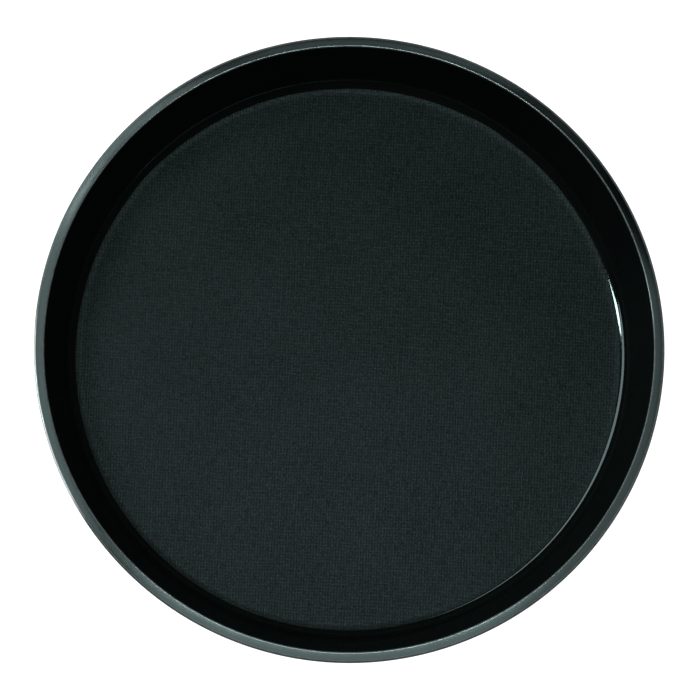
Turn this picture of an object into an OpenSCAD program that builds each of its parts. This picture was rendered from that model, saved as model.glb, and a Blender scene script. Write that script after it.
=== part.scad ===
// Round non-slip serving tray: a moulded dish with a flat rim, a bonded rubber liner
// on its floor, and a steel hoop moulded into the bead under the rim.
// Origin: centre of the tray on the plane it stands on. +Z is up. Millimetres.

/* [Tray] */
// Outer diameter over the rim
tray_d = 355.6; // [340:0.1:460]
// Overall height, from the foot ring to the top of the rim
tray_h = 31; // [26:0.5:40]
// Thickness of the moulded wall and floor
wall_t = 2.8; // [2.2:0.1:3.4]
// Lean of the wall, in degrees outward from upright
wall_lean = 15; // [8:0.5:20]
// Radius of the hollow corner between the floor and the wall
corner_r = 9; // [7:0.1:10]

/* [Rim] */
// Width of the rim seen from above, from the wall's corner to the outer edge
rim_w = 6.2; // [5.6:0.1:7]
// Height of the bead that the rim turns down into
bead_h = 6; // [5.6:0.1:7]
// Radius of the rim's outer edge
rim_outer_r = 1.4; // [0.8:0.1:1.8]
// Radius of the rim's inner edge
rim_inner_r = 0.9; // [0.5:0.1:1.2]
// Radius of the bead's lower edge
bead_edge_r = 0.6; // [0.3:0.1:0.8]

/* [Foot ring] */
// Mean diameter of the ring that the tray stands on
foot_d = 288; // [200:1:290]
// Width of the foot ring where it meets the floor
foot_w = 7; // [5:0.5:9]
// Height of the foot ring
foot_h = 0.8; // [0.5:0.1:1.2]

/* [Liner] */
// Thickness of the rubber sheet
liner_t = 0.8; // [0.5:0.1:1]
// How far the sheet climbs the corner, in degrees of its arc
liner_climb = 28; // [12:1:30]

/* [Hoop] */
// Diameter of the steel rod bent into the hoop
rod_d = 2.4; // [1.6:0.1:2.6]

/* [Hidden] */
$fn = 120;

arc_step = 5;                             // widest turn between two points of an arc, in degrees
tray_r = tray_d / 2;
floor_z = foot_h + wall_t;                // top of the moulded floor
wall_slope = tan(wall_lean);
wall_top_r = tray_r - rim_w;              // where the wall's inner line meets the rim's top
wall_foot_r = wall_top_r - (tray_h - floor_z) * wall_slope;   // where it would meet the floor
corner_turn = 90 - wall_lean;             // the corner's arc, from level to the wall's lean
flat_r = wall_foot_r - corner_r * tan(corner_turn / 2);       // edge of the level floor
corner_c = [flat_r, floor_z + corner_r];  // centre of the corner's arc
wall_out = wall_t / cos(wall_lean);       // level distance between the wall's two faces
bead_z = tray_h - bead_h;                 // underside of the bead
bead_root_r = wall_top_r - bead_h * wall_slope + wall_out;    // where the bead leaves the wall
inner_edge_turn = 90 + wall_lean;         // turn of the rim's inner edge, from level into the wall
inner_edge_set = rim_inner_r * tan((90 - wall_lean) / 2);
hoop_z = tray_h - bead_h / 2;
hoop_r = (wall_top_r - bead_h / 2 * wall_slope + tray_r) / 2; // half way across the bead
foot_r = foot_d / 2;
foot_flat = foot_w / 2;                   // width of the ring's level sole
foot_side = (foot_w - foot_flat) / 2;     // each sloped side of the ring

// Points along an arc about c, from angle a0 to a1, counter-clockwise from +X
function arc(c, r, a0, a1) =
    let (steps = max(1, ceil(abs(a1 - a0) / arc_step)))
    [for (i = [0 : steps])
        let (a = a0 + (a1 - a0) * i / steps)
        c + r * [cos(a), sin(a)]];

// The corner's arc at radius r, from a turn of t0 to a turn of t1 above the level floor
function corner(r, t0, t1) = arc(corner_c, r, t0 - 90, t1 - 90);

// Underside, from the axis outward: level floor, foot ring, corner and wall up to the bead
function outside_line() = concat(
    [[0, foot_h],
     [foot_r - foot_w / 2, foot_h],
     [foot_r - foot_w / 2 + foot_side, 0],
     [foot_r + foot_w / 2 - foot_side, 0],
     [foot_r + foot_w / 2, foot_h]],
    corner(corner_r + wall_t, 0, corner_turn),
    [[bead_root_r, bead_z]]);

// Bead and rim: lower edge, outer edge, level top and the inner edge that turns into the wall
function rim_line() = concat(
    arc([tray_r - bead_edge_r, bead_z + bead_edge_r], bead_edge_r, -90, 0),
    arc([tray_r - rim_outer_r, tray_h - rim_outer_r], rim_outer_r, 0, 90),
    arc([wall_top_r + inner_edge_set, tray_h - rim_inner_r], rim_inner_r, 90, 180 - wall_lean));

// Inner face, from the wall down the corner and in to the axis. The arc breaks where the
// liner ends, so that the liner's underside has the same points.
function inside_line() = concat(
    corner(corner_r, corner_turn, liner_climb),
    corner(corner_r, liner_climb, 0),
    [[0, floor_z]]);

module shell_section() {
    difference() {
        polygon(concat(outside_line(), rim_line(), inside_line()));
        hoop_section();
    }
}

module liner_section() {
    polygon(concat(
        [[0, floor_z]],
        corner(corner_r, 0, liner_climb),
        corner(corner_r - liner_t, liner_climb, 0),
        [[0, floor_z + liner_t]]));
}

module hoop_section() {
    translate([hoop_r, hoop_z])
        circle(d = rod_d);
}

// The moulded dish: floor, foot ring, wall and rim in one piece
module tray_shell() {
    color([0.05, 0.06, 0.06])
        rotate_extrude()
            shell_section();
}

// The rubber sheet bonded to the floor, turned up a little at its edge
module nonslip_liner() {
    color([0.11, 0.14, 0.14])
        rotate_extrude()
            liner_section();
}

// The steel hoop sealed inside the bead
module rim_hoop() {
    color([0.6, 0.6, 0.62])
        rotate_extrude()
            hoop_section();
}

tray_shell();
nonslip_liner();
rim_hoop();
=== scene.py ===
import math

import bmesh
import bpy
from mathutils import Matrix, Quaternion, Vector


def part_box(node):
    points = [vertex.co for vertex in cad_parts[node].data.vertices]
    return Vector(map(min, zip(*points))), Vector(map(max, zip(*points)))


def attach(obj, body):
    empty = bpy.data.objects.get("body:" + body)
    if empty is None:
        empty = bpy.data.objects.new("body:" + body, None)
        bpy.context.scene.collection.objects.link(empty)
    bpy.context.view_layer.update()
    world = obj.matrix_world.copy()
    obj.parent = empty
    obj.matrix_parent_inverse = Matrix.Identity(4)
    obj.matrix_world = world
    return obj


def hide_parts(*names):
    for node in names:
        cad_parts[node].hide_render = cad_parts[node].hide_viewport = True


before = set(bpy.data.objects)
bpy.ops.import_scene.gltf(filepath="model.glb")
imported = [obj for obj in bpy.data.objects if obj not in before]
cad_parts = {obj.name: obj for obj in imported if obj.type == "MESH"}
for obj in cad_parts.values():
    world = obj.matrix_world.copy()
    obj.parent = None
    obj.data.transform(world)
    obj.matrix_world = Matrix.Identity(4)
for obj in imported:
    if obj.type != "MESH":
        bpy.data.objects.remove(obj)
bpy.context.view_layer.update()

# A round serving tray. Lengths are in metres. The outer sizes come from the packed
# frame, and the ones below repeat the driving dimensions of the CAD model.
MM = 0.001
WALL_T = 2.8 * MM          # moulded wall and floor
WALL_LEAN = math.radians(15)
CORNER_R = 9.0 * MM        # hollow corner between floor and wall
RIM_W = 6.2 * MM
BEAD_H = 6.0 * MM
RIM_OUTER_R = 1.4 * MM
RIM_INNER_R = 0.9 * MM
BEAD_EDGE_R = 0.6 * MM
FOOT_D = 288 * MM
FOOT_W = 7.0 * MM
FOOT_H = 0.8 * MM
FOOT_EDGE_R = 0.9 * MM
LINER_T = 0.8 * MM
LINER_CLIMB = math.radians(28)
LINER_EDGE_R = 0.3 * MM
LINER_EDGE_TURN = math.radians(4)   # part of the climb that the rounded edge takes up

AROUND = 640               # steps round the tray
ARC_STEP = math.radians(6)
LINER_RINGS = 90           # rings on the liner's level face
CLIMB_STEPS = 6
AXIS_R = 1e-7              # a point nearer the axis than this is on it

shell_low, shell_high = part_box("tray_shell")
TRAY_R = (shell_high[0] - shell_low[0]) / 2
TRAY_H = shell_high[2]
FLOOR_Z = FOOT_H + WALL_T
WALL_TOP_R = TRAY_R - RIM_W
WALL_FOOT_R = WALL_TOP_R - (TRAY_H - FLOOR_Z) * math.tan(WALL_LEAN)
CORNER_TURN = math.pi / 2 - WALL_LEAN
FLAT_R = WALL_FOOT_R - CORNER_R * math.tan(CORNER_TURN / 2)


# ---------------------------------------------------------------- outlines

def rounded(corners):
    """Points (r, z) of an outline, with each corner (r, z, radius, zone) turned into an arc,
    and the zone of each point."""
    points, zones = [], []
    for i, (r, z, radius, zone) in enumerate(corners):
        here = Vector((r, z))
        if radius == 0:
            points.append(here)
            zones.append(zone)
            continue
        back = (Vector(corners[i - 1][:2]) - here).normalized()
        ahead = (Vector(corners[i + 1][:2]) - here).normalized()
        opening = back.angle(ahead)
        centre = here + (back + ahead).normalized() * radius / math.sin(opening / 2)
        start = here + back * radius / math.tan(opening / 2) - centre
        turn = math.pi - opening
        if start.x * ahead.y - start.y * ahead.x < 0:
            turn = -turn
        steps = max(3, math.ceil(abs(turn) / ARC_STEP))
        for k in range(steps + 1):
            a = turn * k / steps
            c, s = math.cos(a), math.sin(a)
            points.append(centre + Vector((start.x * c - start.y * s, start.x * s + start.y * c)))
            zones.append(zone)
    return points, zones


def lathe(name, points, zones, zone_names):
    """A mesh turned about Z from an outline that runs from the axis and back to it, or out to an
    edge. Each zone of the outline is a material slot."""
    bm = bmesh.new()
    rings = []
    for p in points:
        if p.x < AXIS_R:
            rings.append([bm.verts.new((0, 0, p.y))])
            continue
        rings.append([bm.verts.new((p.x * math.cos(a), p.x * math.sin(a), p.y))
                      for a in (2 * math.pi * k / AROUND for k in range(AROUND))])
    for i in range(len(rings) - 1):
        low, high = rings[i], rings[i + 1]
        zone = zone_names.index(zones[i + 1])
        for k in range(AROUND):
            n = (k + 1) % AROUND
            corners = [low[k % len(low)], low[n % len(low)], high[n % len(high)], high[k % len(high)]]
            face = bm.faces.new(list(dict.fromkeys(corners)))
            face.smooth = True
            face.material_index = zone
    mesh = bpy.data.meshes.new(name)
    bm.to_mesh(mesh)
    bm.free()
    piece = bpy.data.objects.new(name, mesh)
    bpy.context.scene.collection.objects.link(piece)
    return piece


# ---------------------------------------------------------------- materials

class Shader:
    """A material with one Principled node, and short calls for the nodes that feed it."""

    def __init__(self, name, **values):
        self.material = bpy.data.materials.new(name)
        self.material.use_nodes = True
        self.tree = self.material.node_tree
        self.bsdf = self.tree.nodes["Principled BSDF"]
        for socket, value in values.items():
            self.bsdf.inputs[socket.replace("_", " ")].default_value = value

    def node(self, kind, inputs, **settings):
        made = self.tree.nodes.new(kind)
        for key, value in settings.items():
            setattr(made, key, value)
        for key, value in inputs.items():
            self.feed(made.inputs[key], value)
        return made

    def feed(self, socket, value):
        """Link a socket to the value if the value is a socket too, or else set it."""
        if isinstance(value, bpy.types.NodeSocket):
            self.tree.links.new(value, socket)
        else:
            socket.default_value = value

    def math(self, operation, a, b=0.0, c=0.0):
        return self.node("ShaderNodeMath", {0: a, 1: b, 2: c}, operation=operation).outputs[0]

    def plus(self, a, b):
        return self.math("ADD", a, b)

    def times(self, a, b):
        return self.math("MULTIPLY", a, b)

    def vector(self, x=0.0, y=0.0, z=0.0):
        return self.node("ShaderNodeCombineXYZ", {0: x, 1: y, 2: z}).outputs[0]

    def place(self):
        """The object's own coordinates, whole and as X, Y and Z."""
        coords = self.node("ShaderNodeTexCoord", {}).outputs["Object"]
        return coords, self.node("ShaderNodeSeparateXYZ", {0: coords}).outputs

    def radius(self, x, y):
        """Distance from the tray's axis."""
        return self.math("SQRT", self.plus(self.times(x, x), self.times(y, y)))

    def noise(self, at, scale=1.0, detail=2.0, roughness=0.5):
        return self.node("ShaderNodeTexNoise", {
            "Vector": at, "Scale": scale, "Detail": detail, "Roughness": roughness}).outputs["Fac"]

    def remap(self, value, low, high, to_low, to_high):
        return self.node("ShaderNodeMapRange", {
            "Value": value, "From Min": low, "From Max": high,
            "To Min": to_low, "To Max": to_high}).outputs["Result"]

    def ridge(self, value, middle, half_width):
        """1 where the value is at the middle, falling to 0 at the half width on both sides."""
        away = self.math("ABSOLUTE", self.math("SUBTRACT", value, middle))
        return self.remap(away, 0, half_width, 1, 0)

    def blend(self, share, a, b):
        """A colour between a and b, each an RGB triple or a socket."""
        made = self.node("ShaderNodeMix", {0: share}, data_type="RGBA")
        for socket, value in zip((made.inputs[6], made.inputs[7]), (a, b)):
            self.feed(socket, value if isinstance(value, bpy.types.NodeSocket) else (*value, 1))
        return made.outputs[2]

    def set(self, socket, value):
        self.tree.links.new(value, self.bsdf.inputs[socket])

    def bump(self, height, distance):
        made = self.node("ShaderNodeBump", {"Height": height, "Distance": distance})
        self.set("Normal", made.outputs["Normal"])


def round_coordinates(sh, across, along):
    """Coordinates that run across the tray's radius at one scale and round it at another,
    with no seam, so that a noise on them draws marks that follow the turn of the tray."""
    _, (x, y, z) = sh.place()
    radius = sh.radius(x, y)
    return sh.vector(sh.times(sh.math("DIVIDE", x, radius), along),
                     sh.times(sh.math("DIVIDE", y, radius), along),
                     sh.times(sh.plus(radius, z), across))


# the moulding's colours: nearly black clean and rubbed dull, the grey of the rim's edge lines (worn
# scuffs with a painted highlight) and the pale of a painted highlight
MOULD_BLACK = (0.0003, 0.0008, 0.0008)
MOULD_WORN = (0.0006, 0.0013, 0.0012)
MOULD_SCUFF_HIGHLIGHT = (0.075, 0.088, 0.088)
MOULD_GLINT_PAINT = (0.38, 0.42, 0.42)
MOULD_TINT = (0.72, 1.0, 0.98, 1)
MOULD_IOR = 1.5
WALL_BLACK = (0.0010, 0.0016, 0.0014)
WALL_WORN = (0.0014, 0.0021, 0.0018)

SCUFF_HIGHLIGHT_IN_R = WALL_TOP_R + 0.35 * MM     # the grey lines on the rim's inner and outer edge: worn scuffs, partly a painted highlight
SCUFF_HIGHLIGHT_IN_HALF = 0.55 * MM
SCUFF_HIGHLIGHT_OUT_R = TRAY_R - RIM_OUTER_R * 0.8
SCUFF_HIGHLIGHT_OUT_HALF = 0.7 * MM
GLINT_PAINT_AT = math.radians(193)             # centre of the pale painted highlight on the outer edge, from +X
GLINT_PAINT_FROM = TRAY_R * 0.925              # how far towards that side the painted highlight starts
GLINT_PAINT_FULL = TRAY_R * 0.96
GLINT_PAINT_R = TRAY_R - 0.85 * MM
GLINT_PAINT_HALF = 0.9 * MM


def gloss_wall():
    """The moulded wall: polished black, with faint marks round it and a slight orange peel."""
    sh = Shader("moulded_black_wall", Specular_Tint=MOULD_TINT, IOR=MOULD_IOR)
    coords, _ = sh.place()
    streaks = sh.noise(round_coordinates(sh, across=2600, along=5), detail=3.0, roughness=0.6)
    peel = sh.noise(coords, scale=420)
    cloud = sh.noise(coords, scale=28, detail=3.0)
    sh.set("Base Color", sh.blend(sh.remap(cloud, 0.35, 0.7, 0, 1), WALL_BLACK, WALL_WORN))
    sh.set("Roughness", sh.remap(streaks, 0.3, 0.75, 0.04, 0.09))
    sh.bump(sh.plus(peel, sh.times(streaks, 0.4)), 0.01 * MM)
    return sh.material


def satin_rim():
    """The rim: the same black, rubbed by stacking, with fine scratches that run round it,
    its two corners lined grey, worn scuffs with a painted highlight, and a pale painted highlight on its
    outer edge at the left."""
    sh = Shader("moulded_black_rim", Specular_Tint=MOULD_TINT, IOR=MOULD_IOR)
    coords, (x, y, _) = sh.place()
    radius = sh.radius(x, y)
    scratches = sh.noise(round_coordinates(sh, across=9000, along=14), detail=4.0, roughness=0.7)
    grain = sh.noise(coords, scale=1500, detail=3.0, roughness=0.6)
    wear = sh.noise(coords, scale=60, detail=4.0, roughness=0.6)
    patches = sh.noise(coords, scale=240, detail=4.0, roughness=0.7)

    # grey lines along both rim edges, partly worn scuffs and partly painted highlight
    edge_scuff_and_highlight = sh.math("MAXIMUM", sh.ridge(radius, SCUFF_HIGHLIGHT_IN_R, SCUFF_HIGHLIGHT_IN_HALF),
                    sh.ridge(radius, SCUFF_HIGHLIGHT_OUT_R, SCUFF_HIGHLIGHT_OUT_HALF))
    rub = sh.times(edge_scuff_and_highlight, sh.remap(patches, 0.3, 0.65, 0.45, 1))
    # painted highlight: a pale strip on the left of the outer edge, where the light's glint falls
    toward = sh.plus(sh.times(x, math.cos(GLINT_PAINT_AT)), sh.times(y, math.sin(GLINT_PAINT_AT)))
    pale = sh.math("MINIMUM", sh.times(sh.ridge(radius, GLINT_PAINT_R, GLINT_PAINT_HALF), 2.0), 1.0)
    painted_glint = sh.times(sh.remap(toward, GLINT_PAINT_FROM, GLINT_PAINT_FULL, 0, 1), pale)

    black = sh.blend(sh.remap(wear, 0.4, 0.7, 0, 1), MOULD_BLACK, MOULD_WORN)
    edge_and_glint_colour = sh.blend(painted_glint, MOULD_SCUFF_HIGHLIGHT, MOULD_GLINT_PAINT)
    sh.set("Base Color", sh.blend(sh.math("MAXIMUM", rub, painted_glint), black, edge_and_glint_colour))
    dulled = sh.remap(wear, 0.3, 0.7, 0, 0.04)
    sh.set("Roughness", sh.plus(sh.remap(scratches, 0.35, 0.7, 0.08, 0.17), dulled))
    sh.bump(sh.plus(sh.times(scratches, 0.6), grain), 0.012 * MM)
    return sh.material


def satin_underside():
    """The underside: duller, with the mottle of the reinforcing fibre just under the skin."""
    sh = Shader("moulded_black_underside", Specular_Tint=MOULD_TINT, IOR=MOULD_IOR)
    coords, _ = sh.place()
    fibres = sh.noise(coords, scale=240, detail=5.0, roughness=0.65)
    rub = sh.noise(round_coordinates(sh, across=700, along=9), detail=4.0, roughness=0.65)
    sh.set("Base Color", sh.blend(sh.remap(fibres, 0.35, 0.7, 0, 1), MOULD_BLACK, MOULD_WORN))
    dulled = sh.remap(rub, 0.4, 0.8, 0, 0.1)
    sh.set("Roughness", sh.plus(sh.remap(fibres, 0.3, 0.7, 0.22, 0.34), dulled))
    sh.bump(fibres, 0.03 * MM)
    return sh.material


THREAD_PITCH = 1.65 * MM
CROSS_PITCH = 1.9 * MM
WEAVE_TURN = math.radians(2.4)
WEAVE_DEPTH = 0.14 * MM
THREAD_ROUND = 0.7                      # power that squares off a thread's round top
# the rubber from dark to light; the weave's hollows take the dark end as painted shade
RUBBER_LOW = (0.0004, 0.0007, 0.0007)
RUBBER_HIGH = (0.0098, 0.0143, 0.0143)
RUBBER_TINT = (0.66, 1.0, 0.99, 1)
RUBBER_GLOSS = 0.075
SPECK = (0.20, 0.23, 0.23)
SPECK_CELLS = 45.0                      # cells that a speck may sit in, per metre
SPECK_SIZE = 0.020                      # radius of a speck, as a share of its cell
SPECK_RARITY = 0.93                     # share of the cells that have none


def thread(sh, at, pitch, drift):
    """The wave of a row of threads, positive and negative by turns, and its rounded height."""
    wave = sh.math("SINE", sh.times(sh.plus(sh.math("DIVIDE", at, pitch), drift), math.pi))
    return wave, sh.math("POWER", sh.math("ABSOLUTE", wave), THREAD_ROUND)


def weave_height(sh, coords):
    """Height of the woven print, mostly from 0 to 1."""
    turned = sh.node("ShaderNodeVectorRotate", {"Vector": coords, "Angle": WEAVE_TURN},
                     rotation_type="Z_AXIS").outputs[0]
    across, along, _ = sh.node("ShaderNodeSeparateXYZ", {0: turned}).outputs

    def uneven(across_scale, along_scale, seed, detail, roughness):
        """A noise stretched along the threads: slow along one and quick across it."""
        at = sh.vector(sh.times(across, across_scale), sh.times(along, along_scale), seed)
        return sh.noise(at, detail=detail, roughness=roughness)

    drift = sh.noise(coords, scale=35)
    wave_u, thread_u = thread(sh, across, THREAD_PITCH, sh.times(drift, 0.9))
    wave_v, thread_v = thread(sh, along, CROSS_PITCH, sh.times(drift, 1.3))
    over = sh.times(wave_u, wave_v)
    full_u = sh.remap(uneven(620, 130, 0.0, 3.0, 0.5), 0.3, 0.7, 0.35, 1.25)
    full_v = sh.remap(uneven(170, 520, 7.0, 3.0, 0.5), 0.3, 0.7, 0.2, 1.5)
    top_u = sh.times(sh.times(thread_u, sh.math("MULTIPLY_ADD", over, 0.3, 0.7)), full_u)
    top_v = sh.times(sh.times(thread_v, sh.math("MULTIPLY_ADD", over, -0.45, 0.5)), full_v)
    weave = sh.math("SMOOTH_MAX", top_u, top_v, 0.15)
    slubs = uneven(1250, 620, 3.0, 2.0, 0.6)
    height = sh.math("MULTIPLY_ADD", slubs, 1.2, sh.times(weave, 0.7))
    return sh.math("SUBTRACT", height, 0.4)


def specks(sh, coords):
    """1 on a few small round specks, else 0."""
    cells = sh.node("ShaderNodeTexVoronoi", {"Vector": coords, "Scale": SPECK_CELLS}, feature="F1")
    lot = sh.node("ShaderNodeSeparateColor", {0: cells.outputs["Color"]}).outputs[0]
    chosen = sh.math("GREATER_THAN", lot, SPECK_RARITY)
    return sh.times(sh.math("LESS_THAN", cells.outputs["Distance"], SPECK_SIZE), chosen)


def woven_rubber():
    """The liner: matt rubber that took the print of a plain weave, its hollows coloured darker as
    painted shade, with a few pale specks.
    """
    sh = Shader("woven_rubber", Specular_IOR_Level=RUBBER_GLOSS, Specular_Tint=RUBBER_TINT)
    coords, _ = sh.place()
    height = weave_height(sh, coords)
    cloud = sh.noise(coords, scale=18, detail=4.0)
    # painted shade: the weave's hollows coloured darker, with slow random variation on top
    hollow_shade_and_tone = sh.plus(sh.remap(height, 0.25, 0.9, -0.05, 0.71), sh.remap(cloud, 0.3, 0.7, -0.05, 0.12))
    rubber = sh.blend(hollow_shade_and_tone, RUBBER_LOW, RUBBER_HIGH)
    sh.set("Base Color", sh.blend(specks(sh, coords), rubber, SPECK))
    sh.set("Roughness", sh.remap(height, 0.0, 1.0, 0.62, 0.40))
    sh.bump(height, WEAVE_DEPTH)
    return sh.material


def hoop_wire():
    """Plain drawn steel, sealed in the bead."""
    sh = Shader("hoop_wire", Metallic=1.0, Base_Color=(0.55, 0.55, 0.56, 1))
    coords, _ = sh.place()
    drawn = sh.noise(round_coordinates(sh, across=4000, along=10), detail=3.0)
    sh.set("Roughness", sh.remap(drawn, 0.3, 0.7, 0.25, 0.45))
    sh.bump(sh.noise(coords, scale=900), 0.01 * MM)
    return sh.material


# ---------------------------------------------------------------- pieces

def shell_outline():
    foot_in, foot_out = (FOOT_D - FOOT_W) / 2, (FOOT_D + FOOT_W) / 2
    side = FOOT_W / 4
    wall_out = WALL_T / math.cos(WALL_LEAN)
    # where the underside's level line meets the wall's outer line
    under_r = WALL_TOP_R + wall_out - (TRAY_H - FOOT_H) * math.tan(WALL_LEAN)
    bead_z = TRAY_H - BEAD_H
    bead_root = WALL_TOP_R + wall_out - BEAD_H * math.tan(WALL_LEAN)
    return rounded([
        (0, FOOT_H, 0, "under"),
        (foot_in, FOOT_H, FOOT_EDGE_R, "under"),
        (foot_in + side, 0, FOOT_EDGE_R, "under"),
        (foot_out - side, 0, FOOT_EDGE_R, "under"),
        (foot_out, FOOT_H, FOOT_EDGE_R, "under"),
        (under_r, FOOT_H, CORNER_R + WALL_T, "under"),
        (bead_root, bead_z, BEAD_EDGE_R, "under"),
        (TRAY_R, bead_z, BEAD_EDGE_R, "rim"),
        (TRAY_R, TRAY_H, RIM_OUTER_R, "rim"),
        (WALL_TOP_R, TRAY_H, RIM_INNER_R, "rim"),
        (WALL_FOOT_R, FLOOR_Z, CORNER_R, "wall"),
        (0, FLOOR_Z, 0, "wall")])


def make_shell():
    names = ["under", "rim", "wall"]
    shell = lathe("shell", *shell_outline(), names)
    for material in (satin_underside(), satin_rim(), gloss_wall()):
        shell.data.materials.append(material)
    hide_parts("tray_shell")
    return shell


def liner_outline():
    """The sheet's upper face, from the axis out and up the corner, then its edge down to the shell."""
    def climb(radius, turn):
        return Vector((FLAT_R + radius * math.sin(turn), FLOOR_Z + CORNER_R - radius * math.cos(turn)))

    top_r = CORNER_R - LINER_T
    level = [(FLAT_R * k / LINER_RINGS, FLOOR_Z + LINER_T, 0, "top") for k in range(LINER_RINGS + 1)]
    last = LINER_CLIMB - LINER_EDGE_TURN
    rise = [(*climb(top_r, last * k / CLIMB_STEPS), 0, "top") for k in range(1, CLIMB_STEPS + 1)]
    edge = [(*climb(top_r, LINER_CLIMB), LINER_EDGE_R, "top"), (*climb(CORNER_R, LINER_CLIMB), 0, "top")]
    return rounded(level + rise + edge)


def make_liner():
    liner = lathe("liner", *liner_outline(), ["top"])
    liner.data.materials.append(woven_rubber())
    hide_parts("nonslip_liner")
    return liner


for piece in (make_shell(), make_liner()):
    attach(piece, "root")

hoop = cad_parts["rim_hoop"]
hoop.data.materials.clear()
hoop.data.materials.append(hoop_wire())


# ---------------------------------------------------------------- stage

FLOOR_SIZE = 400.0
FLOOR_GLOW_NEAR = 0.85     # lets the tray's soft shadow show
FLOOR_GLOW_FAR = 1.0       # plain white out to the horizon


def make_floor():
    mesh = bpy.data.meshes.new("floor")
    bm = bmesh.new()
    bmesh.ops.create_grid(bm, x_segments=1, y_segments=1, size=FLOOR_SIZE / 2)
    bm.to_mesh(mesh)
    bm.free()
    floor = bpy.data.objects.new("floor", mesh)
    bpy.context.scene.collection.objects.link(floor)
    sh = Shader("pale_floor", Base_Color=(0.4, 0.4, 0.4, 1), Roughness=0.9, Specular_IOR_Level=0.1,
                Emission_Color=(1, 1, 1, 1))
    _, (x, y, _) = sh.place()
    glow = sh.remap(sh.radius(x, y), TRAY_R, 3 * TRAY_R, FLOOR_GLOW_NEAR, FLOOR_GLOW_FAR)
    sh.set("Emission Strength", glow)
    mesh.materials.append(sh.material)


def area_light(name, place, size, radiance):
    """A soft box that faces the tray, as bright as radiance seen from there."""
    data = bpy.data.lights.new(name, "AREA")
    data.shape = "RECTANGLE"
    data.size, data.size_y = size
    data.energy = radiance * math.pi * size[0] * size[1]
    light = bpy.data.objects.new(name, data)
    light.location = place
    bpy.context.scene.collection.objects.link(light)
    return light


CEILING = 1.5              # height of the soft boxes over the rim
BOX_GAP = 0.03


def make_lights():
    """Overhead boxes, each mirrored in its own stretch of the level rim, and two lights from the
    left: a broad one that draws the line round the floor and a small one that draws the glint."""
    high = TRAY_H + CEILING
    low = high - BOX_GAP       # boxes that overlap another one hang a little under it
    area_light("box_left", (-0.67, 0.335, high), (0.30, 0.90), 2.8)
    area_light("box_far_left", (-0.454, 0.895, high), (0.36, 0.22), 3.8)
    area_light("box_front", (-0.024, -0.305, high), (0.96, 0.44), 2.6)
    area_light("box_right", (0.646, 0.085, high), (0.40, 0.90), 1.4)
    area_light("box_far_right", (0.556, 0.895, high), (0.20, 0.16), 0.45)
    area_light("box_back", (0.126, 1.055, high), (0.68, 0.20), 1.4)
    area_light("box_middle", (0.02, -0.05, low), (0.56, 0.20), 42.0)
    area_light("spot_left", (-0.594, 0.725, low), (0.14, 0.14), 7.0)
    side = area_light("side", (-2.00, 1.62, 2.15), (4.4, 0.92), 3.2)
    side.data.shape = "ELLIPSE"
    face_tray(side, math.radians(-14))
    face_tray(area_light("key", (-1.80, 0.286, 2.04), (0.26, 0.72), 42.0))


def face_tray(light, roll=0.0):
    facing = Vector(light.location).to_track_quat("Z", "Y")
    light.rotation_euler = (facing @ Quaternion((0, 0, 1), roll)).to_euler()


def make_world():
    """A dark studio with a pale band low round the horizon, and a white ground to the camera."""
    world = bpy.data.worlds.new("studio")
    bpy.context.scene.world = world
    world.use_nodes = True
    tree = world.node_tree
    nodes, links = tree.nodes, tree.links
    coords = nodes.new("ShaderNodeTexCoord")
    split = nodes.new("ShaderNodeSeparateXYZ")
    links.new(coords.outputs["Generated"], split.inputs[0])
    band = nodes.new("ShaderNodeMapRange")
    band.interpolation_type = "SMOOTHSTEP"
    links.new(split.outputs["Z"], band.inputs["Value"])
    for socket, value in (("From Min", 0.02), ("From Max", 0.1), ("To Min", 1.0), ("To Max", 0.02)):
        band.inputs[socket].default_value = value
    around = nodes["Background"]
    around.inputs["Color"].default_value = (0.95, 1.0, 1.0, 1)
    links.new(band.outputs["Result"], around.inputs["Strength"])
    pale = nodes.new("ShaderNodeBackground")
    path = nodes.new("ShaderNodeLightPath")
    mix = nodes.new("ShaderNodeMixShader")
    links.new(path.outputs["Is Camera Ray"], mix.inputs[0])
    links.new(around.outputs[0], mix.inputs[1])
    links.new(pale.outputs[0], mix.inputs[2])
    links.new(mix.outputs[0], nodes["World Output"].inputs["Surface"])
    pale.inputs["Color"].default_value = (1, 1, 1, 1)


# The camera stands nearly over the tray, a little to its front and left.
CAMERA_AIM = Vector((-0.0133, -0.1008, TRAY_H))
CAMERA_DISTANCE = 0.4766
CAMERA_ELEVATION = math.radians(88.14)
CAMERA_LENS = 43.90
CAMERA_SHIFT = (0.035, 0.25)


def make_camera():
    data = bpy.data.cameras.new("camera")
    camera = bpy.data.objects.new("camera", data)
    bpy.context.scene.collection.objects.link(camera)
    bpy.context.scene.camera = camera
    data.sensor_width = 36
    data.lens = CAMERA_LENS
    data.shift_x, data.shift_y = CAMERA_SHIFT
    data.clip_start, data.clip_end = 0.01, 50
    back = Vector((0, -math.cos(CAMERA_ELEVATION), math.sin(CAMERA_ELEVATION)))
    camera.location = CAMERA_AIM + back * CAMERA_DISTANCE
    camera.rotation_euler = (-back).to_track_quat("-Z", "Y").to_euler()


make_floor()
make_lights()
make_world()
make_camera()
bpy.context.scene.view_settings.view_transform = "Standard"
